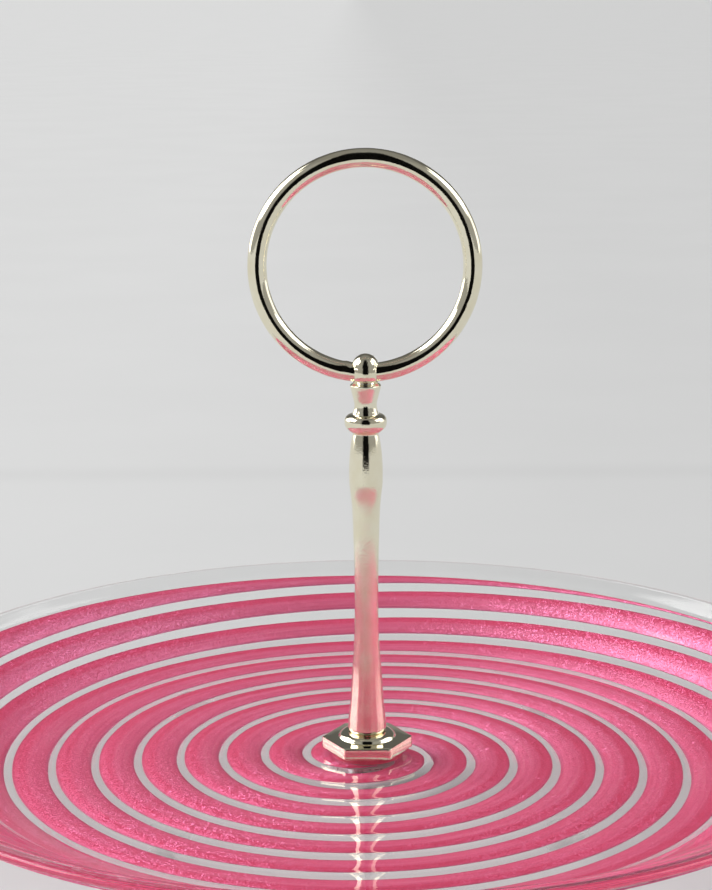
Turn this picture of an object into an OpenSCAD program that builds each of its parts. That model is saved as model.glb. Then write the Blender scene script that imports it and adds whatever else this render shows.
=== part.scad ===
// Centre-handle cake stand: a clear glass dish with a brushed pink swirl, and a gilt stem with a ring handle.
// Millimetres, +Z up. The origin is on the table, under the centre of the dish.

/* [Dish] */
// Radius of the flat middle of the dish
flat_r = 79.5; // [76:0.5:86]
// Radius of the bend between the flat middle and the side
bend_r = 32; // [26:1:40]
// Slope of the side, in degrees
side_angle = 30; // [24:1:34]
// Length of the straight side, measured up its slope
side_len = 13; // [10:0.1:14]
// Radius of the soft outward curve of the rim
lip_r = 42; // [36:1:50]
// Slope at the very edge of the rim, in degrees
lip_angle = 14; // [10:1:22]
// Thickness of the glass
glass_t = 3; // [2.8:0.1:3.6]
// Thickness of the glass at its fire-polished edge
edge_t = 1.8; // [1.4:0.1:2.6]
// Radius of the drilled hole in the middle
dish_hole_r = 5.5; // [5.2:0.1:6]

/* [Swirl] */
// Distance from one clear line to the next, measured along the glass
line_pitch = 10.1; // [9:0.1:11]
// Distance from the axis to the first clear line at the +X side
first_line = 14.2; // [13:0.1:15]
// Width of a clear line in the middle of the dish
line_w_inner = 2.8; // [2:0.1:3.2]
// Width of a clear line near the rim
line_w_outer = 2.0; // [1.6:0.1:2.4]
// Where the pink starts, measured along the glass from the axis
pink_start = 6.3; // [6.1:0.1:11]
// Where the pink ends, measured along the glass from the axis
pink_end = 115.3; // [112:0.1:118]
// Thickness of the enamel under the glass
enamel_t = 0.3; // [0.25:0.05:0.4]

/* [Hexagon flange] */
// Distance across the corners
hex_corners = 21.6; // [21:0.1:23]
// Height of the six-sided part
hex_h = 2.8; // [2.6:0.1:3.2]
// Radius of the raised boss where it meets the hexagon
boss_r = 6.7; // [6.4:0.1:7]
// Height of the raised boss
boss_h = 1.2; // [1:0.1:1.4]

/* [Stem] */
// Height of the stem's top above its seat on the boss
stem_h = 90.6; // [88:0.1:93]
// Radius of the finial ball
ball_r = 3.15; // [3:0.05:3.3]
// Radius of the cross-drilled eye that holds the ring
eye_r = 3.4; // [3.3:0.05:3.6]
// Width of the eye along the ring
eye_w = 5.4; // [5:0.1:5.6]
// Greatest radius of the collar
collar_r = 4.9; // [4.6:0.1:5.2]

/* [Ring handle] */
// Radius of the ring's centre line
ring_r = 24.45; // [23:0.05:26]
// Radius of the ring's round bar
bar_r = 2.2; // [2:0.05:2.3]
// Radial running clearance of the ring in its eye and of the stem in its flange
running_gap = 0.05; // [0.03:0.01:0.08]

/* [Hardware] */
// Height of the bumper feet
foot_h = 7; // [6.5:0.1:9]
// Radius of a bumper foot
foot_r = 5; // [4:0.5:7]
// Distance of the feet from the axis
foot_place_r = 62; // [50:1:70]
// Radius of the upper washer's flange
upper_washer_r = 8.2; // [7.5:0.1:9]
// Thickness of the upper washer's flange
upper_washer_t = 1.6; // [1:0.1:2]
// Radius of the lower soft washer
lower_washer_r = 8.5; // [8:0.1:9]
// Thickness of the lower soft washer
lower_washer_t = 1; // [0.8:0.1:1.2]
// Radius of the steel base washer
base_washer_r = 9; // [8.5:0.1:10]
// Thickness of the steel base washer
base_washer_t = 1.4; // [1.2:0.1:1.6]
// Radius of the base screw's thread
screw_r = 2.95; // [2.9:0.01:2.97]
// Length of the base screw under its head
screw_len = 17.5; // [17:0.5:18]
// Height of the base screw's pan head
head_h = 2.6; // [2.4:0.1:2.8]
// Radius of the base screw's pan head
head_r = 5.5; // [5:0.1:6]

/* [Hidden] */
$fn = 96;

gold = [0.87, 0.84, 0.70];
steel = [0.75, 0.75, 0.77];
pink = [0.88, 0.33, 0.50];
clear_glass = [0.88, 0.92, 0.92, 0.35];
soft_clear = [0.90, 0.90, 0.88, 0.6];

// Small gaps that keep separate pieces apart, and how far a cut runs past what it cuts
washer_gap = 0.15;
sleeve_gap = 0.1;
seat_gap = 0.1;
lip_gap = 0.25;
overrun = 1;

// Heights above the table
glass_bottom = foot_h + enamel_t;
glass_top = glass_bottom + glass_t;
hex_bottom = glass_top + upper_washer_t;
hex_top = hex_bottom + hex_h;
seat_z = hex_top + boss_h + seat_gap;
screw_z = glass_bottom - enamel_t - lower_washer_t - base_washer_t;

// The stem's spigot turns in the flange and is held by a swaged lip in a counterbore under it
spigot_r = 4.2;
tap_r = 3;
tap_depth = 17;
lip_ring_r = 5;
lip_ring_h = 0.6;
counterbore_r = 5.4;
counterbore_h = 0.95;
spigot_z = hex_bottom + lip_gap;

// The eye's axis, which the ring turns about, lies a little below the ball's centre
eye_drop = 1.2;
ball_z = seat_z + stem_h - ball_r;
eye_z = ball_z - eye_drop;
// The ring is curved, so its centre is placed half of its bow within the eye lower
ring_bow = pow(eye_w / 2, 2) / (2 * ring_r);
ring_z = eye_z + ring_r - ring_bow / 2;

// Lengths along the glass, from the axis, where the outline changes from one curve to the next
bend_end = flat_r + bend_r * side_angle * PI / 180;
side_end = bend_end + side_len;
rim_end = side_end + lip_r * (side_angle - lip_angle) * PI / 180;
taper_start = pink_end + 0.7;
bend_out = flat_r + bend_r * sin(side_angle);
bend_up = bend_r * (1 - cos(side_angle));
side_out = bend_out + side_len * cos(side_angle);
side_up = bend_up + side_len * sin(side_angle);

// Slope of the glass at a length s from the axis, in degrees
function slope(s) =
    s <= flat_r ? 0 :
    s <= bend_end ? (s - flat_r) / bend_r * 180 / PI :
    s <= side_end ? side_angle :
    side_angle - (s - side_end) / lip_r * 180 / PI;

// Point [radius, height] of the dish's upper outline at a length s from the axis
function outline(s) =
    s <= flat_r ? [s, 0] :
    s <= bend_end ? [flat_r + bend_r * sin(slope(s)), bend_r * (1 - cos(slope(s)))] :
    s <= side_end ? [bend_out, bend_up] + (s - bend_end) * [cos(side_angle), sin(side_angle)] :
    [side_out, side_up] + lip_r * [sin(side_angle) - sin(slope(s)), cos(slope(s)) - cos(side_angle)];

// The same point moved down by drop, square to the glass
function under(s, drop) = outline(s) + drop * [sin(slope(s)), -cos(slope(s))];

// Thickness of the glass at a length s from the axis: it thins from the edge of the pink to the rim
function thickness(s) = glass_t - (glass_t - edge_t) * max(0, s - taper_start) / (rim_end - taper_start);

// Evenly spaced numbers from a to b
function steps(a, b, n) = [for (i = [0:n]) a + (b - a) * i / n];

// Point at u between p1 and p2 of the smooth curve through p0, p1, p2 and p3
function blend(p0, p1, p2, p3, u) = 0.5 * (
    2 * p1 + (p2 - p0) * u + (2 * p0 - 5 * p1 + 4 * p2 - p3) * pow(u, 2)
    + (3 * p1 - p0 - 3 * p2 + p3) * pow(u, 3));

// Smooth curve through all the points, with n steps between neighbours
function smooth(points, n) = [
    for (i = [0:len(points) - 2], k = [0:n - 1])
        blend(points[max(i - 1, 0)], points[i], points[i + 1], points[min(i + 2, len(points) - 1)], k / n),
    points[len(points) - 1]
];

// Outline of the stem between its rounded foot and the collar: [radius, height above the seat]
shaft = [
    [4.1, 0], [4.35, 0.3], [4.5, 0.8], [4.45, 2.2], [4.25, 4.5], [3.9, 8], [3.45, 15.2], [3.0, 21], [2.8, 29],
    [2.8, 38], [3.02, 47], [3.15, 51.5], [3.35, 55.4], [3.85, 59.8], [3.91, 61], [3.91, 64], [3.7, 67.5],
    [3.35, 70.2], [2.95, 72.2]
];
// Outline of the vase between the collar and the eye
vase = [
    [2.95, 77.0], [2.7, 77.8], [2.6, 78.6], [2.68, 79.4], [3.1, 81.1], [3.55, 82.9],
    [3.57, 83.3], [3.3, 83.55], [2.9, 83.85], [2.65, 84.4], [2.6, 85.4]
];
// Outline of the collar's underside, from the neck out to its edge: [radius, height above the collar's middle]
under_collar = [[2.95, -2.95], [3.8, -2.35], [4.35, -1.85], [4.72, -1.3], [4.87, -0.7]];
// Height of the collar's middle above the seat and the radius of its rounded upper edge
collar_z = 75;
collar_edge_r = 1.5;
neck_r = 2.95;
neck_z = 72.1;
neck_h = 5.4;

module lathe(points) {
    rotate_extrude() polygon(concat([[0, points[0][1]]], points, [[0, points[len(points) - 1][1]]]));
}

module collar() {
    edge = [for (a = steps(0, 90, 8)) [collar_r - collar_edge_r * (1 - cos(a)), collar_edge_r * sin(a)]];
    translate([0, 0, collar_z]) lathe(concat(smooth(under_collar, 3), edge));
    translate([0, 0, neck_z]) cylinder(r = neck_r, h = neck_h);
}

module finial() {
    translate([0, 0, ball_z]) sphere(ball_r);
    intersection() {
        translate([0, 0, eye_z]) sphere(eye_r);
        translate([-eye_w / 2, -eye_r, eye_z - eye_r]) cube([eye_w, 2 * eye_r, 2 * eye_r]);
    }
}

module stem() {
    color(gold) difference() {
        union() {
            translate([0, 0, seat_z]) {
                lathe(smooth(shaft, 5));
                lathe(smooth(vase, 4));
                collar();
            }
            finial();
            translate([0, 0, spigot_z]) cylinder(r = spigot_r, h = seat_z - spigot_z + overrun);
            translate([0, 0, spigot_z]) cylinder(r = lip_ring_r, h = lip_ring_h);
        }
        translate([0, 0, spigot_z - overrun]) cylinder(r = tap_r, h = tap_depth + overrun);
        translate([-eye_w, 0, eye_z]) rotate([0, 90, 0])
            cylinder(r = bar_r + ring_bow / 2 + running_gap, h = 2 * eye_w);
    }
}

module ring_handle() {
    color(gold) translate([0, 0, ring_z]) rotate([90, 0, 0])
        rotate_extrude() translate([ring_r, 0]) circle(bar_r);
}

module hex_flange() {
    chamfer = 0.5;
    boss_round = 1.6;
    sunk = 0.01;
    color(gold) difference() {
        union() {
            intersection() {
                translate([0, 0, hex_bottom]) cylinder(d = hex_corners, h = hex_h, $fn = 6);
                translate([0, 0, hex_bottom])
                    cylinder(r1 = hex_corners / 2 + hex_h, r2 = hex_corners / 2 - chamfer / 2, h = hex_h);
            }
            translate([0, 0, hex_top - sunk]) rotate_extrude() polygon(concat(
                [[0, 0]],
                [for (a = steps(0, 90, 8)) [boss_r - boss_round * (1 - cos(a)), boss_h * sin(a) + sunk]],
                [[0, boss_h + sunk]]));
        }
        translate([0, 0, hex_bottom - overrun]) {
            cylinder(r = spigot_r + running_gap, h = hex_h + boss_h + 2 * overrun);
            cylinder(r = counterbore_r, h = counterbore_h + overrun);
        }
    }
}

// The upper washer's sleeve hangs in the glass's hole, centres the screw and ends above the lower washer
module upper_washer() {
    sleeve_z = glass_bottom + 2 * sleeve_gap;
    color(soft_clear) difference() {
        union() {
            translate([0, 0, glass_top]) cylinder(r = upper_washer_r, h = upper_washer_t);
            translate([0, 0, sleeve_z])
                cylinder(r = dish_hole_r - sleeve_gap, h = glass_top - sleeve_z + sleeve_gap);
        }
        translate([0, 0, sleeve_z - overrun])
            cylinder(r = screw_r + washer_gap, h = glass_t + upper_washer_t + 2 * overrun);
    }
}

module glass_dish() {
    edge_r = edge_t / 2;
    edge = under(rim_end, edge_r);
    lip = steps(taper_start, rim_end, 4);
    lengths = concat(
        steps(flat_r, bend_end, 8), steps(side_end, taper_start, 3), [for (i = [1:len(lip) - 1]) lip[i]]);
    turns = steps(90 + lip_angle, lip_angle - 90, 12);
    rim = [for (i = [1:len(turns) - 2]) edge + edge_r * [cos(turns[i]), sin(turns[i])]];
    color(clear_glass) translate([0, 0, glass_top]) rotate_extrude() polygon(concat(
        [[dish_hole_r, -glass_t], [dish_hole_r, 0]],
        [for (s = lengths) outline(s)],
        rim,
        [for (i = [len(lengths) - 1:-1:0]) under(lengths[i], thickness(lengths[i]))]));
}

// Width of the clear line at a length s from the axis
function line_w(s) = line_w_inner + (line_w_outer - line_w_inner) * min(1, max(0, s / pink_end));

// Ring of six points across the enamel: three against the glass and three below it
function enamel_section(s_in, s_out, angle) = [
    for (layer = [0, 1], k = [0:2])
        let (s = s_in + (s_out - s_in) * (layer == 0 ? k : 2 - k) / 2)
        let (p = under(s, glass_t + layer * enamel_t))
        [p[0] * cos(angle), p[0] * sin(angle), glass_top + p[1]]
];

// One arm of the swirl: it winds out clockwise, two line pitches a turn, from start to end turns
module swirl_arm(first, start, end) {
    per_turn = 40;
    least_w = 0.2;
    count = ceil((end - start) * per_turn);
    sections = [
        for (t = steps(start, end, count))
            let (s = first + 2 * line_pitch * t)
            let (s_in = max(pink_start, s + line_w(s) / 2))
            let (s_out = min(pink_end, s + line_pitch - line_w(s + line_pitch) / 2))
            enamel_section(s_in, max(s_out, s_in + least_w), -360 * t)
    ];
    points = [for (section = sections, p = section) p];
    sides = [
        for (i = [0:count - 1], k = [0:5])
            let (a = 6 * i + k, b = 6 * i + (k + 1) % 6)
            each [[a, b, a + 6], [b, b + 6, a + 6]]
    ];
    caps = [
        [0, 5, 4], [0, 4, 1], [1, 4, 3], [1, 3, 2],
        for (face = [[0, 4, 5], [0, 1, 4], [1, 3, 4], [1, 2, 3]]) [for (k = face) 6 * count + k]
    ];
    color(pink) polyhedron(points, concat(sides, caps));
}

// Turns at which a swirl arm starts and ends: just past the inner edge of the pink and just short of the outer
function arm_start(first) = (pink_start + 1.6 - first - line_pitch) / (2 * line_pitch);
function arm_end(first) = (pink_end - 1.4 - first) / (2 * line_pitch);

module swirl_band_a() {
    swirl_arm(first_line, arm_start(first_line), arm_end(first_line));
}

module swirl_band_b() {
    second_line = first_line + line_pitch;
    swirl_arm(second_line, arm_start(second_line), arm_end(second_line));
}

module flat_washer(z, outer_r, inner_r, t) {
    translate([0, 0, z]) difference() {
        cylinder(r = outer_r, h = t);
        translate([0, 0, -overrun]) cylinder(r = inner_r, h = t + 2 * overrun);
    }
}

module lower_washer() {
    color(soft_clear)
        flat_washer(screw_z + base_washer_t, lower_washer_r, screw_r + washer_gap, lower_washer_t);
}

module base_washer() {
    color(steel) flat_washer(screw_z, base_washer_r, screw_r + washer_gap, base_washer_t);
}

module base_screw() {
    slot_w = 1.4;
    slot_depth = 1.3;
    edge_w = 0.8;
    edge_h = 1;
    color(steel) difference() {
        union() {
            translate([0, 0, screw_z]) cylinder(r = screw_r, h = screw_len);
            translate([0, 0, screw_z - head_h + edge_h]) cylinder(r = head_r, h = head_h - edge_h);
            translate([0, 0, screw_z - head_h]) cylinder(r1 = head_r - edge_w, r2 = head_r, h = edge_h);
        }
        translate([-head_r - overrun, -slot_w / 2, screw_z - head_h - overrun])
            cube([2 * (head_r + overrun), slot_w, slot_depth + overrun]);
    }
}

module foot(index) {
    round_r = 1.5;
    angle = 90 * index - 45;
    color(soft_clear) translate([foot_place_r * cos(angle), foot_place_r * sin(angle), 0]) {
        translate([0, 0, round_r]) cylinder(r = foot_r, h = foot_h - round_r);
        rotate_extrude() {
            square([foot_r - round_r, round_r]);
            intersection() {
                translate([foot_r - round_r, round_r]) circle(round_r);
                square([foot_r, round_r]);
            }
        }
    }
}

ring_handle();
stem();
hex_flange();
upper_washer();
glass_dish();
swirl_band_a();
swirl_band_b();
lower_washer();
base_washer();
base_screw();
foot(1);  // foot_1
foot(2);  // foot_2
foot(3);  // foot_3
foot(4);  // foot_4
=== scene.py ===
"""Looks of the cake stand: a rippled glass dish with a pink glitter swirl, and a gilt stem with a ring.

Lengths are millimetres until a mesh is made. The scene is in metres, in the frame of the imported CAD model.
"""

import math

import bpy
from mathutils import Matrix, Vector, noise


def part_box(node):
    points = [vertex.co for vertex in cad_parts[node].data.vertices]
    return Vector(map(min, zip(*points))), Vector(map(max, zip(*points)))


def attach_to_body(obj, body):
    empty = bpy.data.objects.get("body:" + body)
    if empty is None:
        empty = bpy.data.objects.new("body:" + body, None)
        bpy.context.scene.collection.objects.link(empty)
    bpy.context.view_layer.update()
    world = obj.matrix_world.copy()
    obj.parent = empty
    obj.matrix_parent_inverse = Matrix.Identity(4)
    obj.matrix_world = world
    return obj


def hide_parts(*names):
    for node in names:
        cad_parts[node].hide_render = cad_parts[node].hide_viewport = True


MM = 0.001

# The camera stands in front of the stand, at the level of the ring's top, and looks down a little
CAMERA_PLACE = (-0.00225, -0.4824, 0.1896)
CAMERA_DOWN = 12.209
CAMERA_ROLL = 0.34
CAMERA_LENS = 86.6
CAMERA_SENSOR = 36.0

# Outline of the dish, as in the CAD model: flat middle, bend, straight side and outward lip
FLAT_R = 79.5
BEND_R = 32.0
SIDE_ANGLE = math.radians(30)
SIDE_LENGTH = 13.0
LIP_R = 42.0
LIP_ANGLE = math.radians(14)
GLASS_T = 3.0
EDGE_T = 1.8
HOLE_R = 5.5
BEND_END = FLAT_R + BEND_R * SIDE_ANGLE
SIDE_END = BEND_END + SIDE_LENGTH
RIM_END = SIDE_END + LIP_R * (SIDE_ANGLE - LIP_ANGLE)

# The swirl: two pink bands with clear lines between them, winding out clockwise
PITCH = 10.1
FIRST_LINE = 14.2
LINE_INNER_W = 3.6
LINE_OUTER_W = 3.2
PINK_START = 6.3
PINK_END = 115.3
TAPER_START = PINK_END + 0.7
# The enamel swells into the glass above it, so that it catches the light like a brushed bead
ENAMEL_T = 0.3
ENAMEL_ARCH = 0.8
ENAMEL_SUNK = 0.04
# A clear line's width is multiplied by LINE_SIDE at the left and right, and by LINE_SIDE + LINE_FRONT at the
# front and back
LINE_SIDE = 0.77
LINE_FRONT = 0.59

# The ripple of the glass: a rounded rib over each pink band and a crease over each clear line
RIB_H = 0.55
CREASE_PHASE = -0.03
COLUMNS = 240
ROWS = 16


# ---------------------------------------------------------------- meshes

def smoothstep(low, high, value):
    t = min(1.0, max(0.0, (value - low) / (high - low)))
    return t * t * (3 - 2 * t)


def make_piece(name, points, faces, materials, smooth_angle=40):
    """A mesh object from points in millimetres."""
    mesh = bpy.data.meshes.new(name)
    mesh.from_pydata([Vector(p) * MM for p in points], [], faces)
    mesh.validate()
    for material in materials:
        mesh.materials.append(material)
    mesh.shade_smooth()
    mesh.set_sharp_from_angle(angle=math.radians(smooth_angle))
    piece = bpy.data.objects.new(name, mesh)
    bpy.context.scene.collection.objects.link(piece)
    return piece


def stitch(loop_a, loop_b):
    """Quads between two closed loops of the same length."""
    count = len(loop_a)
    return [(loop_a[i], loop_a[(i + 1) % count], loop_b[(i + 1) % count], loop_b[i]) for i in range(count)]


def turned(outline, columns, place=(0, 0, 0), bump=None):
    """Points, faces and loops of a shape turned about a vertical axis through place.

    The outline lists (radius, height) points. A point on the axis closes the shape there with a fan of
    triangles. bump(angle, height) is added to the radius.
    """
    points, loops = [], []
    for radius, height in outline:
        if radius < 1e-6:
            loops.append([len(points)])
            points.append((place[0], place[1], place[2] + height))
            continue
        loop = []
        for i in range(columns):
            angle = 2 * math.pi * i / columns
            r = radius + (bump(angle, height) if bump else 0)
            loop.append(len(points))
            x = place[0] + r * math.cos(angle)
            y = place[1] + r * math.sin(angle)
            points.append((x, y, place[2] + height))
        loops.append(loop)
    faces = []
    for lower, upper in zip(loops, loops[1:]):
        if len(lower) == 1:
            faces += [(lower[0], upper[(i + 1) % columns], upper[i]) for i in range(columns)]
        elif len(upper) == 1:
            faces += [(upper[0], lower[i], lower[(i + 1) % columns]) for i in range(columns)]
        else:
            faces += stitch(lower, upper)
    return points, faces, loops


def smooth_curve(points, steps):
    """Catmull-Rom curve through all the points."""
    curve = []
    for i in range(len(points) - 1):
        p0, p1, p2, p3 = (Vector(points[max(0, min(len(points) - 1, i + k))]) for k in (-1, 0, 1, 2))
        for k in range(steps):
            u = k / steps
            curve.append(0.5 * (2 * p1 + (p2 - p0) * u + (2 * p0 - 5 * p1 + 4 * p2 - p3) * u**2
                                + (3 * p1 - p0 - 3 * p2 + p3) * u**3))
    curve.append(Vector(points[-1]))
    return [tuple(p) for p in curve]


def arc(centre, radius, start, end, steps):
    """Points on a circle in the plane of the outline, angles in degrees."""
    angles = [math.radians(start + (end - start) * i / steps) for i in range(steps + 1)]
    return [(centre[0] + radius * math.cos(a), centre[1] + radius * math.sin(a)) for a in angles]


def combine(target, other, operation):
    """Applies an exact Boolean to target and removes the other object."""
    modifier = target.modifiers.new("cut", "BOOLEAN")
    modifier.operation = operation
    modifier.solver = "EXACT"
    modifier.object = other
    bpy.context.view_layer.update()
    evaluated = target.evaluated_get(bpy.context.evaluated_depsgraph_get())
    mesh = bpy.data.meshes.new_from_object(evaluated)
    target.modifiers.remove(modifier)
    target.data = mesh
    bpy.data.objects.remove(other)


# ---------------------------------------------------------------- shape of the dish

def slope(s):
    """Slope of the glass's upper face, in radians, at a length s along it from the axis."""
    if s <= FLAT_R:
        return 0.0
    if s <= BEND_END:
        return (s - FLAT_R) / BEND_R
    if s <= SIDE_END:
        return SIDE_ANGLE
    return SIDE_ANGLE - (s - SIDE_END) / LIP_R


def outline(s):
    """Point (radius, height) of the glass's upper face at a length s along it from the axis."""
    if s <= FLAT_R:
        return s, 0.0
    if s <= BEND_END:
        return FLAT_R + BEND_R * math.sin(slope(s)), BEND_R * (1 - math.cos(slope(s)))
    r, z = outline(BEND_END)
    if s <= SIDE_END:
        return r + (s - BEND_END) * math.cos(SIDE_ANGLE), z + (s - BEND_END) * math.sin(SIDE_ANGLE)
    r, z = outline(SIDE_END)
    return (r + LIP_R * (math.sin(SIDE_ANGLE) - math.sin(slope(s))),
            z + LIP_R * (math.cos(slope(s)) - math.cos(SIDE_ANGLE)))


def on_glass(s, angle, depth, top):
    """Point at a length s from the axis, a depth below the glass's upper face."""
    r, z = outline(s)
    r += depth * math.sin(slope(s))
    z -= depth * math.cos(slope(s))
    return r * math.cos(angle), r * math.sin(angle), top + z


def thickness(s):
    """The glass thins from the edge of the pink to the rim."""
    return GLASS_T - (GLASS_T - EDGE_T) * max(0.0, s - TAPER_START) / (RIM_END - TAPER_START)


def ripple(phase, s, angle):
    """Height of the glass's ripple, where phase 0 is the middle of a clear line and 1 the next one out."""
    across = 2 * ((phase - CREASE_PHASE) % 1.0) - 1
    height = RIB_H * (2 / 3 - across**2)
    fade = smoothstep(9.5, 13, s) * (1 - smoothstep(113, 120, s))
    wave = 0.05 * noise.noise(Vector((3 * math.cos(angle), 3 * math.sin(angle), s * 0.11)))
    return (height + wave) * fade


def glass_face(top, upper):
    """The upper or lower face of the glass, on a lattice that winds out with the swirl.

    Returns its points, its faces, and the numbers of the points around the hole and around the rim.
    """
    spacing = PITCH / ROWS
    margin = 0.2 * spacing
    points, columns = [], []
    for j in range(COLUMNS):
        angle = 2 * math.pi * j / COLUMNS
        start = FIRST_LINE - 2 * PITCH * j / COLUMNS
        first = math.ceil((HOLE_R + margin - start) / spacing)
        last = math.floor((RIM_END - margin - start) / spacing)
        lengths = [HOLE_R] + [start + k * spacing for k in range(first, last + 1)] + [RIM_END]
        phases = [0.0] + [k / ROWS for k in range(first, last + 1)] + [0.0]
        base = len(points)
        for s, phase in zip(lengths, phases):
            depth = -ripple(phase, s, angle) if upper else thickness(s)
            points.append(on_glass(s, angle, depth, top))
        columns.append((first, last, base))
    faces = []
    for j in range(COLUMNS):
        first_a, last_a, base_a = columns[j]
        first_b, last_b, base_b = columns[(j + 1) % COLUMNS]
        if j == COLUMNS - 1:
            first_b += 2 * ROWS
            last_b += 2 * ROWS
        # Number of the point in row 0 of each of the two columns
        zero_a = base_a + 1 - first_a
        zero_b = base_b + 1 - first_b
        low, high = max(first_a, first_b), min(last_a, last_b)
        for k in range(low, high):
            faces.append((zero_a + k, zero_a + k + 1, zero_b + k + 1, zero_b + k))
        inner = [base_a] + [zero_a + k for k in range(first_a, low + 1)]
        inner += [zero_b + k for k in range(low, first_b - 1, -1)] + [base_b]
        outer = [zero_a + k for k in range(high, last_a + 2)]
        outer += [zero_b + k for k in range(last_b + 1, high - 1, -1)]
        faces += [tuple(inner), tuple(outer)]
    holes = [base for first, last, base in columns]
    rims = [base + last - first + 2 for first, last, base in columns]
    return points, faces, holes, rims


def make_dish(top, material):
    """The glass: its two faces, joined by a rounded edge at the rim and a wall in the drilled hole."""
    points, faces, hole_top, rim_top = glass_face(top, True)
    lower_points, lower_faces, hole_low, rim_low = glass_face(top, False)
    shift = len(points)
    points += lower_points
    faces += [tuple(reversed([i + shift for i in face])) for face in lower_faces]
    hole_low = [i + shift for i in hole_low]
    rim_low = [i + shift for i in rim_low]
    edge_r = EDGE_T / 2
    edge_s = RIM_END
    r, z = outline(edge_s)
    r += edge_r * math.sin(slope(edge_s))
    z -= edge_r * math.cos(slope(edge_s))
    steps = 10
    previous = rim_top
    for k in range(1, steps):
        turn = math.pi / 2 + slope(edge_s) - math.pi * k / steps
        loop = []
        for j in range(COLUMNS):
            angle = 2 * math.pi * j / COLUMNS
            out = r + edge_r * math.cos(turn)
            loop.append(len(points))
            points.append((out * math.cos(angle), out * math.sin(angle), top + z + edge_r * math.sin(turn)))
        faces += stitch(loop, previous)
        previous = loop
    faces += stitch(rim_low, previous)
    faces += stitch(hole_top, hole_low)
    return make_piece("dish", points, faces, [material], 50)


def line_width(s, angle):
    """The clear lines are narrower at the left and right than at the front and back."""
    width = LINE_INNER_W + (LINE_OUTER_W - LINE_INNER_W) * min(1.0, max(0.0, s / PINK_END))
    return width * (LINE_SIDE + LINE_FRONT * math.sin(angle) ** 2)


def make_band(name, first, top, material):
    """One pink arm of the swirl: enamel fired onto the underside of the glass."""
    across = 9
    start = math.ceil((PINK_START + 1.6 - first - PITCH) / (2 * PITCH) * COLUMNS)
    end = math.floor((PINK_END - 1.4 - first) / (2 * PITCH) * COLUMNS)
    points, faces, coords = [], [], []
    length = 0.0
    for i in range(start, end + 1):
        t = i / COLUMNS
        angle = -2 * math.pi * t
        s = first + 2 * PITCH * t
        wobble_in = 0.10 * noise.noise(Vector((t * 31.0, first, 0.0)))
        wobble_out = 0.10 * noise.noise(Vector((t * 31.0, first, 9.0)))
        s_in = max(PINK_START, s + line_width(s, angle) / 2 + wobble_in)
        s_out = min(PINK_END, s + PITCH - line_width(s + PITCH, angle) / 2 + wobble_out)
        s_out = max(s_out, s_in + 0.2)
        length += 2 * math.pi * outline(s + PITCH / 2)[0] / COLUMNS if s > 0 else 0.3
        arch = ENAMEL_ARCH * min(1.0, (s_out - s_in) / 7)
        for k in range(across + 1):
            v = k / across
            depth = GLASS_T - ENAMEL_SUNK - arch * (1 - (2 * v - 1) ** 2)
            points.append(on_glass(s_in + (s_out - s_in) * v, angle, depth, top))
            coords.append((length, v))
        for k in range(across + 1):
            v = 1 - k / across
            points.append(on_glass(s_in + (s_out - s_in) * v, angle, GLASS_T + ENAMEL_T, top))
            coords.append((length, v))
    ring = 2 * (across + 1)
    sections = end - start
    for i in range(sections):
        for k in range(ring):
            a = i * ring + k
            b = i * ring + (k + 1) % ring
            faces.append((a, a + ring, b + ring, b))
    faces.append(tuple(range(ring)))
    faces.append(tuple(reversed(range(sections * ring, (sections + 1) * ring))))
    piece = make_piece(name, points, faces, [material], 50)
    layer = piece.data.uv_layers.new(name="stroke")
    for loop in piece.data.loops:
        u, v = coords[loop.vertex_index]
        layer.data[loop.index].uv = (u * 0.1, v)
    return piece


# ---------------------------------------------------------------- shape of the stem and its fittings

# Outlines as in the CAD model, (radius, height above the stem's seat): the shaft with its bulb, the vase
# above the collar, and the collar's underside, measured from the collar's middle
SHAFT = [
    (4.1, 0), (4.35, 0.3), (4.5, 0.8), (4.45, 2.2), (4.25, 4.5), (3.9, 8), (3.45, 15.2), (3.0, 21),
    (2.8, 29), (2.8, 38), (3.02, 47), (3.15, 51.5), (3.35, 55.4), (3.85, 59.8), (3.91, 61), (3.91, 64),
    (3.7, 67.5), (3.35, 70.2), (2.98, 72.0),
]
VASE = [
    (2.95, 77.0), (2.7, 77.8), (2.6, 78.6), (2.68, 79.4), (3.1, 81.1), (3.55, 82.9),
    (3.57, 83.3), (3.3, 83.55), (2.9, 83.85), (2.65, 84.4), (2.6, 85.4),
]
COLLAR_Z = 75.0
COLLAR_R = 4.9
COLLAR_EDGE_R = 1.5
UNDER_COLLAR = [(3.0, -2.9), (3.8, -2.35), (4.35, -1.85), (4.72, -1.3), (4.87, -0.7)]
BALL_R = 3.15
EYE_R = 3.4
EYE_W = 5.4
EYE_DROP = 1.2
SPIGOT_R = 4.2
LIP_RING_R = 5.0
LIP_RING_H = 0.6
TAP_R = 3.0
TAP_DEPTH = 17.0
SEAT_GAP = 0.1
RUNNING_GAP = 0.05
BOSS_R = 6.7
BOSS_H = 1.2
BOSS_ROUND = 1.6
BEVEL = 0.45
COUNTERBORE_R = 5.4
COUNTERBORE_H = 0.95
SCREW_R = 2.95
THREAD_DEPTH = 0.55
SCREW_HEAD_H = 2.6
WASHER_HOLE_R = 3.1
SLEEVE_R = 5.4
FOOT_ROUND = 1.5


def pitting(strength):
    """Radius change that gives a cast bar its slightly uneven skin."""
    def bump(angle, height):
        place = Vector((1.6 * math.cos(angle), 1.6 * math.sin(angle), height * 0.45))
        return strength * noise.noise(place)
    return bump


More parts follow.
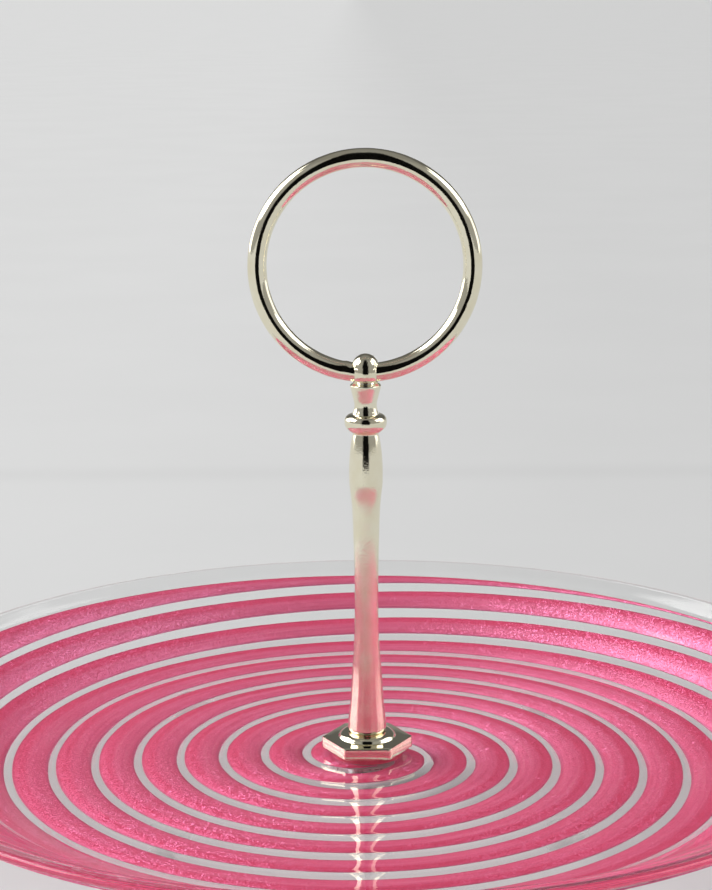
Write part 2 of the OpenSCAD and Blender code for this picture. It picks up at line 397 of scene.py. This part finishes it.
def stem_outline():
    """Outline of the stem above its seat, from the foot of the shaft to the top of the vase."""
    collar = [(radius, COLLAR_Z + height) for radius, height in smooth_curve(UNDER_COLLAR, 4)]
    collar += arc((COLLAR_R - COLLAR_EDGE_R, COLLAR_Z), COLLAR_EDGE_R, 0, 90, 8)
    neck = [(3.1, COLLAR_Z + COLLAR_EDGE_R + 0.05), (2.98, COLLAR_Z + COLLAR_EDGE_R + 0.3)]
    return smooth_curve(SHAFT, 6) + collar + neck + smooth_curve(VASE, 6)


def make_stem(seat, spigot, ball, eye, hole_r, material):
    """The stem, from its swaged lip to the ball, with the eye cut across it and the tapped hole under it."""
    low = spigot - seat
    profile = [(0, low), (LIP_RING_R - 0.15, low), (LIP_RING_R, low + 0.15), (LIP_RING_R, low + LIP_RING_H)]
    profile += [(SPIGOT_R, low + LIP_RING_H), (SPIGOT_R, 0)]
    profile += stem_outline() + [(0, VASE[-1][1])]
    points, faces, loops = turned(profile, 64, (0, 0, seat), pitting(0.02))
    stem = make_piece("stem_shaft", points, faces, [material])
    ball_points, ball_faces, loops = turned(arc((0, 0), BALL_R, -90, 90, 20), 40, (0, 0, ball))
    combine(stem, make_piece("ball", ball_points, ball_faces, [material]), "UNION")
    flat = math.degrees(math.acos(EYE_W / 2 / EYE_R))
    eye_outline = [(0, -EYE_W / 2)] + arc((0, 0), EYE_R, flat - 90, 90 - flat, 12) + [(0, EYE_W / 2)]
    eye_points, eye_faces, loops = turned(eye_outline, 40)
    eye_points = [(z, y, eye - x) for x, y, z in eye_points]
    eye_piece = make_piece("eye", eye_points, eye_faces, [material])
    combine(stem, eye_piece, "UNION")
    hole_points, hole_faces, loops = turned([(0, -EYE_W), (hole_r, -EYE_W), (hole_r, EYE_W), (0, EYE_W)], 32)
    hole_points = [(z, y, eye - x) for x, y, z in hole_points]
    combine(stem, make_piece("hole", hole_points, hole_faces, [material]), "DIFFERENCE")
    tap = [(0, -2), (TAP_R, -2), (TAP_R, TAP_DEPTH), (0, TAP_DEPTH + 1.5)]
    tap_points, tap_faces, loops = turned(tap, 32, (0, 0, spigot))
    combine(stem, make_piece("tap", tap_points, tap_faces, [material]), "DIFFERENCE")
    stem.data.shade_smooth()
    stem.data.set_sharp_from_angle(angle=math.radians(38))
    return stem


def make_ring(centre_z, ring_r, bar_r, material):
    """The ring, with a small run of solder on its upper side just left of the stem's head."""
    around, across = 288, 32
    points, faces = [], []
    for i in range(around):
        turn = 2 * math.pi * i / around
        out = Vector((math.cos(turn), 0, math.sin(turn)))
        for k in range(across):
            twist = 2 * math.pi * k / across
            normal = out * math.cos(twist) + Vector((0, 1, 0)) * math.sin(twist)
            place = out * ring_r + normal * bar_r
            blemish = math.exp(-((math.degrees(turn) - 259.5) / 2.2) ** 2) * max(0.0, -math.cos(twist) + 0.3)
            lump = 0.14 * blemish * (0.6 + noise.noise(place * 2.3))
            uneven = 0.012 * noise.noise(place * 0.7)
            points.append(tuple(place + normal * (lump + uneven) + Vector((0, 0, centre_z))))
    for i in range(around):
        for k in range(across):
            a, b = i * across + k, i * across + (k + 1) % across
            c, d = ((i + 1) % around) * across + (k + 1) % across, ((i + 1) % around) * across + k
            faces.append((a, b, c, d))
    return make_piece("ring", points, faces, [material], 60)


def hexagon_radius(angle, size, roundness):
    """Distance from the axis to the side of a hexagon with rounded corners, size from axis to corner."""
    local = (angle + math.pi / 6) % (math.pi / 3) - math.pi / 6
    side = size * math.cos(math.pi / 6) / math.cos(abs(local) - math.pi / 6)
    cap = size - roundness
    sharpness = 20
    return -math.log(math.exp(-side * sharpness) + math.exp(-cap * sharpness)) / sharpness


def make_flange(bottom, top, boss_top, corner_r, bore_r, material):
    """Hexagon with bevelled edges and a rounded boss, bored for the stem's spigot."""
    around = 180
    height = top - bottom
    boss_height = boss_top - bottom
    # (inset, height) up the outside of the hexagon
    side = [
        (0.15, 0.0),
        (0.0, 0.15),
        (0.0, height - BEVEL),
        (0.12, height - 0.45 * BEVEL),
        (0.8 * BEVEL, height - 0.08),
        (1.6 * BEVEL, height),
    ]
    # (radius, height) over the boss and down the bore
    boss = [(BOSS_R + 0.5, height), (BOSS_R + 0.12, height + 0.08)]
    for k in range(1, 9):
        turn = math.radians(90 * k / 8)
        boss.append((BOSS_R - BOSS_ROUND * (1 - math.cos(turn)), height + BOSS_H * math.sin(turn)))
    boss += [(bore_r + 0.15, boss_height), (bore_r, boss_height - 0.15)]
    boss += [(bore_r, COUNTERBORE_H), (COUNTERBORE_R, COUNTERBORE_H), (COUNTERBORE_R, 0.0)]
    angles = [2 * math.pi * i / around for i in range(around)]
    rings = [([hexagon_radius(a, corner_r - inset, 0.12) for a in angles], rise) for inset, rise in side]
    rings += [([radius] * around, rise) for radius, rise in boss]
    points, loops = [], []
    for radii, rise in rings:
        loops.append(list(range(len(points), len(points) + around)))
        points += [(r * math.cos(a), r * math.sin(a), bottom + rise) for r, a in zip(radii, angles)]
    faces = []
    for lower, upper in zip(loops, loops[1:] + loops[:1]):
        faces += stitch(lower, upper)
    return make_piece("flange", points, faces, [material], 30)


def make_ringed(name, outline_points, columns, place, material, smooth_angle=40):
    """A washer or other turned piece with a hole: its outline is a closed loop."""
    points, faces, loops = turned(outline_points, columns, place)
    faces += stitch(loops[-1], loops[0])
    return make_piece(name, points, faces, [material], smooth_angle)


def washer_outline(inner, outer, height, rounding):
    """Closed outline of a flat washer with rounded outer edges."""
    middle = outer - rounding
    return ([(inner, 0.0), (middle, 0.0)] + arc((middle, rounding), rounding, -75, 0, 3)
            + arc((middle, height - rounding), rounding, 0, 75, 3) + [(middle, height), (inner, height)])


def make_screw(bottom, head_h, shank_top, head_r, thread_r, material):
    """Pan-head screw with a driver slot and a real helical thread."""
    core_r = thread_r - THREAD_DEPTH
    pitch = 1.0
    rounding = 1.1
    head = [(0, 0), (head_r - rounding, 0)] + arc((head_r - rounding, rounding), rounding, -75, 0, 5)
    head += [(head_r, head_h), (core_r, head_h)]
    head += [(core_r, shank_top - bottom - 0.6), (core_r - 0.6, shank_top - bottom), (0, shank_top - bottom)]
    points, faces, loops = turned(head, 48, (0, 0, bottom))
    screw = make_piece("screw", points, faces, [material])
    slot_w, slot_d = 1.4, 1.3
    block = [(x, y, z) for z in (bottom - 1, bottom + slot_d) for y in (-slot_w / 2, slot_w / 2)
             for x in (-head_r - 1, head_r + 1)]
    sides = [(0, 2, 3, 1), (4, 5, 7, 6), (0, 1, 5, 4), (2, 6, 7, 3), (0, 4, 6, 2), (1, 3, 7, 5)]
    combine(screw, make_piece("slot", block, sides, [material]), "DIFFERENCE")
    screw.data.shade_smooth()
    screw.data.set_sharp_from_angle(angle=math.radians(35))
    start, end = bottom + head_h + 0.3, shank_top - 0.9
    per_turn = 36
    count = int((end - start - pitch) / pitch * per_turn)
    thread_points, thread_faces = [], []
    for i in range(count + 1):
        angle = 2 * math.pi * i / per_turn
        height = start + pitch * i / per_turn
        taper = min(1.0, i / per_turn * 2, (count - i) / per_turn * 2)
        root = core_r - 0.2
        crest = core_r + THREAD_DEPTH * taper
        for radius, rise in ((root, 0.0), (crest, 0.42), (crest, 0.54), (root, 0.96)):
            thread_points.append((radius * math.cos(angle), radius * math.sin(angle), height + rise * pitch))
    for i in range(count):
        for k in range(4):
            a, b = 4 * i + k, 4 * i + (k + 1) % 4
            thread_faces.append((a, a + 4, b + 4, b))
    thread_faces += [(0, 1, 2, 3), (4 * count + 3, 4 * count + 2, 4 * count + 1, 4 * count)]
    thread = make_piece("screw_thread", thread_points, thread_faces, [material], 35)
    return screw, thread


# ---------------------------------------------------------------- materials

# How far behind the stand lies the faint line of painted shade, where the table meets the back
SHADE_LINE_Y = 342.0


def add(tree, kind, inputs=None, **settings):
    """A node with its settings and its inputs, each a value or an output socket."""
    node = tree.nodes.new(kind)
    for key, value in settings.items():
        setattr(node, key, value)
    for key, value in (inputs or {}).items():
        if isinstance(value, bpy.types.NodeSocket):
            tree.links.new(value, node.inputs[key])
        else:
            node.inputs[key].default_value = value
    return node


def maths(tree, operation, a, b=0.0):
    return add(tree, "ShaderNodeMath", {0: a, 1: b}, operation=operation).outputs[0]


def ramp(tree, factor, stops):
    """Colour that runs through the stops, each a position and a colour."""
    node = add(tree, "ShaderNodeValToRGB", {"Fac": factor})
    while len(node.color_ramp.elements) < len(stops):
        node.color_ramp.elements.new(0.5)
    for element, (position, colour) in zip(node.color_ramp.elements, stops):
        element.position = position
        element.color = (*colour, 1)
    return node.outputs["Color"]


def bumps(tree, height, strength, distance):
    """Normal of a surface whose fine relief follows height."""
    inputs = {"Height": height, "Strength": strength, "Distance": distance}
    return add(tree, "ShaderNodeBump", inputs).outputs["Normal"]


def vector(tree, operation, a, b):
    return add(tree, "ShaderNodeVectorMath", {0: a, 1: b}, operation=operation).outputs[0]


def scaled(tree, a, factor):
    return add(tree, "ShaderNodeVectorMath", {0: a, "Scale": factor}, operation="SCALE").outputs[0]


def map_range(tree, value, low, high, to_low=0.0, to_high=1.0):
    """Smooth step from to_low at low to to_high at high."""
    return add(tree, "ShaderNodeMapRange", {
        "Value": value, "From Min": low, "From Max": high, "To Min": to_low, "To Max": to_high},
        interpolation_type="SMOOTHSTEP").outputs["Result"]


def new_material(name):
    material = bpy.data.materials.new(name)
    material.use_nodes = True
    tree = material.node_tree
    tree.nodes.clear()
    output = add(tree, "ShaderNodeOutputMaterial")
    return material, tree, output


def gilt(name, pits):
    """Pale gold plating: polished, finely pitted, a little duller in patches."""
    material, tree, output = new_material(name)
    place = add(tree, "ShaderNodeTexCoord").outputs["Object"]
    cloud = add(tree, "ShaderNodeTexNoise", {"Vector": place, "Scale": 260.0, "Detail": 4.0}).outputs["Fac"]
    colour = ramp(tree, cloud, [(0.3, (0.88, 0.82, 0.62)), (0.7, (0.93, 0.89, 0.72))])
    rough = map_range(tree, cloud, 0.3, 0.75, 0.02, 0.06)
    grain = add(tree, "ShaderNodeTexNoise", {"Vector": place, "Scale": 2900.0, "Detail": 3.0}).outputs["Fac"]
    bump = bumps(tree, grain, pits, 0.0001)
    shader = add(tree, "ShaderNodeBsdfPrincipled", {
        "Base Color": colour, "Metallic": 1.0, "Roughness": rough, "Normal": bump})
    tree.links.new(shader.outputs[0], output.inputs["Surface"])
    return material


def clear_glass(name):
    """Clear glass with a faint waviness. Light and shadow pass straight through it."""
    material, tree, output = new_material(name)
    place = add(tree, "ShaderNodeTexCoord").outputs["Object"]
    wave = add(tree, "ShaderNodeTexNoise", {"Vector": place, "Scale": 60.0, "Detail": 2.0}).outputs["Fac"]
    bump = bumps(tree, wave, 0.05, 0.001)
    tint = ramp(tree, wave, [(0.2, (0.975, 0.985, 0.985)), (0.8, (1.0, 1.0, 1.0))])
    glass = add(tree, "ShaderNodeBsdfPrincipled", {
        "Base Color": tint, "Roughness": 0.0, "IOR": 1.5, "Transmission Weight": 1.0, "Normal": bump})
    clear = add(tree, "ShaderNodeBsdfTransparent", {"Color": (0.99, 0.99, 0.99, 1)})
    path = add(tree, "ShaderNodeLightPath")
    passing = maths(tree, "MAXIMUM", path.outputs["Is Shadow Ray"], path.outputs["Is Diffuse Ray"])
    mix = add(tree, "ShaderNodeMixShader", {0: passing, 1: glass.outputs[0], 2: clear.outputs[0]})
    tree.links.new(mix.outputs[0], output.inputs["Surface"])
    return material


def pink_enamel(name):
    """Pink enamel brushed on along the swirl and full of fine glitter, with painted shade along the edges of
    each band and over its outer side.
    """
    material, tree, output = new_material(name)
    place = add(tree, "ShaderNodeTexCoord").outputs["Object"]
    stroke = add(tree, "ShaderNodeUVMap", uv_map="stroke").outputs["UV"]
    stretched = vector(tree, "MULTIPLY", stroke, (0.35, 9.0, 1.0))
    streaks = add(tree, "ShaderNodeTexNoise", {
        "Vector": stretched, "Scale": 1.0, "Detail": 5.0, "Roughness": 0.65}).outputs["Fac"]
    across = add(tree, "ShaderNodeSeparateXYZ", {"Vector": stroke}).outputs["Y"]
    # Painted shade: the enamel is darkened along both edges of each band
    inner_edge = map_range(tree, across, 0.0, 0.10, 1.0, 0.0)
    outer_edge = map_range(tree, across, 0.90, 1.0, 0.0, 1.0)
    edge = maths(tree, "MAXIMUM", inner_edge, outer_edge)
    streak_colour = ramp(tree, streaks, [
        (0.30, (0.80, 0.07, 0.165)), (0.5, (0.92, 0.12, 0.24)), (0.70, (0.97, 0.20, 0.32))])
    # Painted shade: the outer side of each band is darker and the inner side lighter, as on a lit convex
    # bead
    outer_side = map_range(tree, across, 0.50, 0.72, 0.0, 1.0)
    painted_outer_shade = ramp(tree, outer_side, [(0.0, (1.0, 1.0, 1.0)), (1.0, (0.92, 0.35, 0.52))])
    pink_with_painted_shade = vector(tree, "MULTIPLY", streak_colour, painted_outer_shade)
    shade = maths(tree, "SUBTRACT", 1.0, maths(tree, "MULTIPLY", edge, 0.3))
    base = scaled(tree, pink_with_painted_shade, shade)
    paint = add(tree, "ShaderNodeBsdfPrincipled", {
        "Base Color": base, "Roughness": 0.45, "Specular IOR Level": 0.3})

    # Each flake leans at random: far across the brush strokes, and little along them
    flakes = add(tree, "ShaderNodeTexVoronoi", {"Vector": place, "Scale": 4800.0})
    lean = add(tree, "ShaderNodeVectorMath", {
        0: flakes.outputs["Color"], 1: (2, 2, 2), 2: (-1, -1, -1)}, operation="MULTIPLY_ADD").outputs[0]
    lean = add(tree, "ShaderNodeSeparateXYZ", {"Vector": lean})
    far_lean = maths(tree, "MULTIPLY", lean.outputs[0], maths(tree, "ABSOLUTE", lean.outputs[0]))
    outward = vector(tree, "MULTIPLY", place, (1, 1, 0))
    outward = add(tree, "ShaderNodeVectorMath", {0: outward}, operation="NORMALIZE").outputs[0]
    along = vector(tree, "CROSS_PRODUCT", (0, 0, 1), outward)
    across_tilt = scaled(tree, outward, maths(tree, "MULTIPLY", far_lean, 0.85))
    along_tilt = scaled(tree, along, maths(tree, "MULTIPLY", lean.outputs[1], 0.2))
    normal = add(tree, "ShaderNodeNewGeometry").outputs["Normal"]
    flake_normal = vector(tree, "ADD", normal, across_tilt)
    flake_normal = vector(tree, "ADD", flake_normal, along_tilt)
    flake_normal = add(tree, "ShaderNodeVectorMath", {0: flake_normal}, operation="NORMALIZE").outputs[0]
    glitter = add(tree, "ShaderNodeBsdfPrincipled", {
        "Base Color": (1.0, 0.36, 0.66, 1), "Metallic": 1.0, "Roughness": 0.3, "Normal": flake_normal})
    share = map_range(tree, flakes.outputs["Distance"], 0.15, 0.6, 0.5, 0.3)
    sparkling = add(tree, "ShaderNodeMixShader", {0: share, 1: paint.outputs[0], 2: glitter.outputs[0]})

    path = add(tree, "ShaderNodeLightPath")
    passing = maths(tree, "MAXIMUM", path.outputs["Is Shadow Ray"], path.outputs["Is Diffuse Ray"])
    passing = maths(tree, "MULTIPLY", passing, 0.97)
    thin = add(tree, "ShaderNodeBsdfTransparent", {"Color": (1.0, 0.95, 0.965, 1)})
    mix = add(tree, "ShaderNodeMixShader", {0: passing, 1: sparkling.outputs[0], 2: thin.outputs[0]})
    tree.links.new(mix.outputs[0], output.inputs["Surface"])
    return material


def soft_plastic(name, dull, fresh, clearness):
    """Cloudy soft plastic that lets light through; clearness is the share that is seen straight through."""
    material, tree, output = new_material(name)
    place = add(tree, "ShaderNodeTexCoord").outputs["Object"]
    cloud = add(tree, "ShaderNodeTexNoise", {"Vector": place, "Scale": 900.0, "Detail": 3.0}).outputs["Fac"]
    colour = ramp(tree, cloud, [(0.3, dull), (0.7, fresh)])
    bump = bumps(tree, cloud, 0.15, 0.0002)
    shader = add(tree, "ShaderNodeBsdfPrincipled", {
        "Base Color": colour, "Roughness": 0.32, "Transmission Weight": 0.35, "IOR": 1.45, "Normal": bump})
    path = add(tree, "ShaderNodeLightPath")
    passing = maths(tree, "MAXIMUM", path.outputs["Is Shadow Ray"], path.outputs["Is Diffuse Ray"])
    passing = maths(tree, "MAXIMUM", maths(tree, "MULTIPLY", passing, 0.9), clearness)
    thin = add(tree, "ShaderNodeBsdfTransparent", {"Color": (0.97, 0.97, 0.97, 1)})
    mix = add(tree, "ShaderNodeMixShader", {0: passing, 1: shader.outputs[0], 2: thin.outputs[0]})
    tree.links.new(mix.outputs[0], output.inputs["Surface"])
    return material


def zinc_steel(name):
    """Zinc-plated steel with fine turning marks."""
    material, tree, output = new_material(name)
    place = add(tree, "ShaderNodeTexCoord").outputs["Object"]
    cloud = add(tree, "ShaderNodeTexNoise", {"Vector": place, "Scale": 700.0, "Detail": 4.0}).outputs["Fac"]
    colour = ramp(tree, cloud, [(0.3, (0.52, 0.54, 0.57)), (0.7, (0.70, 0.71, 0.73))])
    rough = map_range(tree, cloud, 0.3, 0.7, 0.25, 0.42)
    split = add(tree, "ShaderNodeSeparateXYZ", {"Vector": place})
    radius = maths(tree, "SQRT", maths(tree, "ADD", maths(tree, "POWER", split.outputs[0], 2.0),
                                       maths(tree, "POWER", split.outputs[1], 2.0)))
    lathe = maths(tree, "SINE", maths(tree, "MULTIPLY", radius, 21000.0))
    bump = bumps(tree, lathe, 0.12, 0.00005)
    shader = add(tree, "ShaderNodeBsdfPrincipled", {
        "Base Color": colour, "Metallic": 1.0, "Roughness": rough, "Normal": bump})
    tree.links.new(shader.outputs[0], output.inputs["Surface"])
    return material


def table_paint(name):
    """Pale matt table with painted light, a touch lighter to the left, and a faint soft line of painted
    shade where it meets the back.
    """
    material, tree, output = new_material(name)
    place = add(tree, "ShaderNodeTexCoord").outputs["Object"]
    split = add(tree, "ShaderNodeSeparateXYZ", {"Vector": place})
    # Painted light: the table is a touch lighter to the left, where the bright panel is
    light = map_range(tree, split.outputs["X"], -0.16, 0.16, 1.0, 0.9)
    blotch = add(tree, "ShaderNodeTexNoise", {"Vector": place, "Scale": 9.0, "Detail": 3.0}).outputs["Fac"]
    light = maths(tree, "MULTIPLY", light, map_range(tree, blotch, 0.3, 0.7, 0.985, 1.0))
    # Painted shade: a faint soft dark line where the table would meet the back wall
    shade_line_distance = maths(tree, "ABSOLUTE", maths(tree, "SUBTRACT", split.outputs["Y"], SHADE_LINE_Y * MM))
    light = maths(tree, "MULTIPLY", light, map_range(tree, shade_line_distance, 0.0, 0.02, 0.965, 1.0))
    colour = scaled(tree, (0.80, 0.806, 0.812), light)
    shader = add(tree, "ShaderNodeBsdfPrincipled", {
        "Base Color": colour, "Roughness": 0.9, "Specular IOR Level": 0.0})
    tree.links.new(shader.outputs[0], output.inputs["Surface"])
    return material


# ---------------------------------------------------------------- studio

def make_floor():
    """A table that runs on to the horizon."""
    size = 60000.0
    sheet = [(-size, -size, 0), (size, -size, 0), (size, size, 0), (-size, size, 0)]
    floor = make_piece("floor", sheet, [(0, 1, 2, 3)], [table_paint("table_paint")])


def make_flag():
    """A black card behind the camera: the metal shows it as a dark line down its front."""
    material, tree, output = new_material("black_card")
    place = add(tree, "ShaderNodeTexCoord").outputs["Object"]
    nap = add(tree, "ShaderNodeTexNoise", {"Vector": place, "Scale": 300.0}).outputs["Fac"]
    colour = ramp(tree, nap, [(0.3, (0.004, 0.004, 0.004)), (0.7, (0.008, 0.008, 0.008))])
    shader = add(tree, "ShaderNodeBsdfPrincipled", {
        "Base Color": colour, "Roughness": 0.9, "Specular IOR Level": 0.0})
    tree.links.new(shader.outputs[0], output.inputs["Surface"])
    half_w, far, top = 210.0, -520.0, 900.0
    card = [(-half_w, far, 1), (half_w, far, 1), (half_w, far, top), (-half_w, far, top)]
    flag = make_piece("flag", card, [(0, 1, 2, 3)], [material])
    flag.visible_camera = False
    flag.visible_diffuse = False
    flag.visible_shadow = False
    flag.visible_transmission = False


def panel(tree, direction, azimuth, elevation, half_width, half_height, soft):
    """1 inside a soft-edged rectangle of directions and 0 outside.

    Angles are in degrees, and azimuth runs from +X towards +Y.
    """
    a = math.radians(azimuth)
    sideways = add(tree, "ShaderNodeVectorMath", {0: direction, 1: (-math.sin(a), math.cos(a), 0)},
                   operation="DOT_PRODUCT").outputs["Value"]
    ahead = add(tree, "ShaderNodeVectorMath", {0: direction, 1: (math.cos(a), math.sin(a), 0)},
                operation="DOT_PRODUCT").outputs["Value"]
    height = add(tree, "ShaderNodeSeparateXYZ", {"Vector": direction}).outputs["Z"]
    turn = maths(tree, "ABSOLUTE", maths(tree, "ARCTAN2", sideways, ahead))
    rise = maths(tree, "SUBTRACT", maths(tree, "ARCSINE", height), math.radians(elevation))
    insides = []
    for angle, half in ((turn, half_width), (maths(tree, "ABSOLUTE", rise), half_height)):
        near = math.radians(half - soft)
        far = math.radians(half + soft)
        insides.append(map_range(tree, angle, near, far, 1.0, 0.0))
    return maths(tree, "MULTIPLY", insides[0], insides[1])


def make_world():
    """Soft studio: a bright panel on the left, a weaker one on the right, and dim behind and overhead."""
    world = bpy.data.worlds.new("studio")
    world.use_nodes = True
    bpy.context.scene.world = world
    tree = world.node_tree
    tree.nodes.clear()
    output = add(tree, "ShaderNodeOutputWorld")
    direction = add(tree, "ShaderNodeTexCoord").outputs["Generated"]
    light = 0.34
    # Azimuth, elevation, half width, half height, softness and brightness
    panels = [
        (90, 48, 75, 36, 4, 0.12),
        (90, 90, 180, 35, 10, 0.24),
        (172, 35, 32, 15, 4, 5.8),
        (5, 35, 28, 14, 4, 2.9),
        (152, 7, 20, 14, 4, 2.3),
        (14, 7, 18, 14, 4, 1.5),
        (270, 25, 24, 45, 5, 0.02),
    ]
    for azimuth, elevation, half_width, half_height, soft, value in panels:
        mask = panel(tree, direction, azimuth, elevation, half_width, half_height, soft)
        keep = maths(tree, "MULTIPLY", maths(tree, "SUBTRACT", 1.0, mask), light)
        light = maths(tree, "ADD", keep, maths(tree, "MULTIPLY", mask, value))
    background = add(tree, "ShaderNodeBackground", {"Color": (1.0, 0.995, 0.985, 1), "Strength": light})
    tree.links.new(background.outputs[0], output.inputs["Surface"])


def make_camera():
    data = bpy.data.cameras.new("camera")
    data.lens = CAMERA_LENS
    data.sensor_width = CAMERA_SENSOR
    data.clip_start = 0.01
    camera = bpy.data.objects.new("camera", data)
    bpy.context.scene.collection.objects.link(camera)
    tilt = Matrix.Rotation(math.radians(90 - CAMERA_DOWN), 4, "X")
    roll = Matrix.Rotation(math.radians(-CAMERA_ROLL), 4, "Z")
    camera.matrix_world = Matrix.Translation(CAMERA_PLACE) @ tilt @ roll
    bpy.context.scene.camera = camera


# ---------------------------------------------------------------- the stand

def attach(piece, body, nodes):
    """Puts a piece on its body and hides the CAD nodes that it stands for."""
    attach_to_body(piece, body)
    if nodes:
        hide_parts(*nodes)


def build_dish(low):
    """The glass and its swirl. Returns the height of the flat middle's upper face."""
    glass_top = low["glass_dish"].z + GLASS_T
    enamel = pink_enamel("pink_enamel")
    attach(make_dish(glass_top, clear_glass("clear_glass")), "dish", ["glass_dish"])
    for name, node, first in (
            ("swirl_a", "swirl_band_a", FIRST_LINE),
            ("swirl_b", "swirl_band_b", FIRST_LINE + PITCH)):
        attach(make_band(name, first, glass_top, enamel), "dish", [node])
    return glass_top


def build_handle(low, high):
    """The ring, the stem and the hexagon flange."""
    gold = gilt("gilt_polished", 0.08)
    gold_pitted = gilt("gilt_pitted", 0.22)
    bar_r = high["ring_handle"].y
    ring_r = high["ring_handle"].x - bar_r
    ring_z = (high["ring_handle"].z + low["ring_handle"].z) / 2
    attach(make_ring(ring_z, ring_r, bar_r, gold), "ring", ["ring_handle"])

    # The eye is bored wider than the bar, because the bar bows inside it
    bow = (EYE_W / 2) ** 2 / (2 * ring_r)
    hole_r = bar_r + bow / 2 + RUNNING_GAP
    ball_z = high["stem"].z - BALL_R
    seat_z = high["hex_flange"].z + SEAT_GAP
    stem = make_stem(seat_z, low["stem"].z, ball_z, ball_z - EYE_DROP, hole_r, gold_pitted)
    attach(stem, "stem", ["stem"])

    bottom = low["hex_flange"].z
    boss_top = high["hex_flange"].z
    corner_r = high["hex_flange"].x
    bore_r = SPIGOT_R + RUNNING_GAP
    flange = make_flange(bottom, boss_top - BOSS_H, boss_top, corner_r, bore_r, gold)
    attach(flange, "flange", ["hex_flange"])


def build_clamp(low, high, glass_top, soft):
    """The screw and the three washers that clamp the glass to the flange."""
    steel = zinc_steel("zinc_steel")
    # Painted reflection: the upper washer's bright crimson stands in for the pink swirl seen reflected under
    # the hexagon
    crimson_painted_reflection = soft_plastic("crimson_painted_reflection", (0.80, 0.05, 0.12), (0.90, 0.09, 0.17), 0.0)
    screw_low = low["base_screw"].z
    screw_high = high["base_screw"].z
    screw, thread = make_screw(screw_low, SCREW_HEAD_H, screw_high, high["base_screw"].x, SCREW_R, steel)
    attach(screw, "dish", ["base_screw"])
    attach(thread, "dish", [])

    for node, name, rounding, material, slot in (
            ("base_washer", "washer_steel", 0.3, steel, "steel"),
            ("lower_washer", "washer_soft_low", 0.35, soft, "soft_clear")):
        bottom = low[node].z
        section = washer_outline(WASHER_HOLE_R, high[node].x, high[node].z - bottom, rounding)
        attach(make_ringed(name, section, 72, (0, 0, bottom), material), "dish", [node])

    radius = high["upper_washer"].x
    sleeve_low = low["upper_washer"].z
    top = high["upper_washer"].z
    section = [
        (WASHER_HOLE_R, sleeve_low),
        (SLEEVE_R, sleeve_low),
        (SLEEVE_R, glass_top),
        (radius, glass_top),
        (radius, top - 0.12),
        (radius - 0.12, top),
        (WASHER_HOLE_R, top),
    ]
    washer = make_ringed("washer_soft_top", section, 72, (0, 0, 0), crimson_painted_reflection)
    attach(washer, "dish", ["upper_washer"])


def build_feet(low, high, soft):
    """Four bumper feet, rounded below and waisted a little where they are stuck to the glass."""
    for index in range(1, 5):
        name = f"foot_{index}"
        centre = (low[name] + high[name]) / 2
        radius = (high[name].x - low[name].x) / 2
        foot_h = high[name].z
        profile = [(0, 0)] + arc((radius - FOOT_ROUND, FOOT_ROUND), FOOT_ROUND, -90, 0, 6)
        waist = radius - 0.25
        profile += [(radius, foot_h * 0.45), (waist, foot_h - 0.5), (waist, foot_h), (0, foot_h)]
        points, faces, loops = turned(profile, 48, (centre.x, centre.y, 0))
        attach(make_piece(f"bumper_{index}", points, faces, [soft]), "dish", [name])


def build():
    """Every piece of the stand, placed by the boxes of the CAD nodes."""
    low = {name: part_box(name)[0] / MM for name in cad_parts}
    high = {name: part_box(name)[1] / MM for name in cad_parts}
    soft = soft_plastic("soft_clear", (0.84, 0.85, 0.83), (0.92, 0.93, 0.91), 0.6)
    glass_top = build_dish(low)
    build_handle(low, high)
    build_clamp(low, high, glass_top, soft)
    build_feet(low, high, soft)


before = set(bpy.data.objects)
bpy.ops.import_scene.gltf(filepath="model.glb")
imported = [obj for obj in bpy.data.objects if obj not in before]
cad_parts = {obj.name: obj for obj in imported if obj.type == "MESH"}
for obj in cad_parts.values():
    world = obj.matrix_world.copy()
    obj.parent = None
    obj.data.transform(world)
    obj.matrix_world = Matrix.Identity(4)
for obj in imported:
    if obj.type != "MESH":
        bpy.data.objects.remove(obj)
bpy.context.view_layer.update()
make_camera()
make_world()
make_floor()
make_flag()
build()
bpy.context.scene.view_settings.view_transform = "Standard"
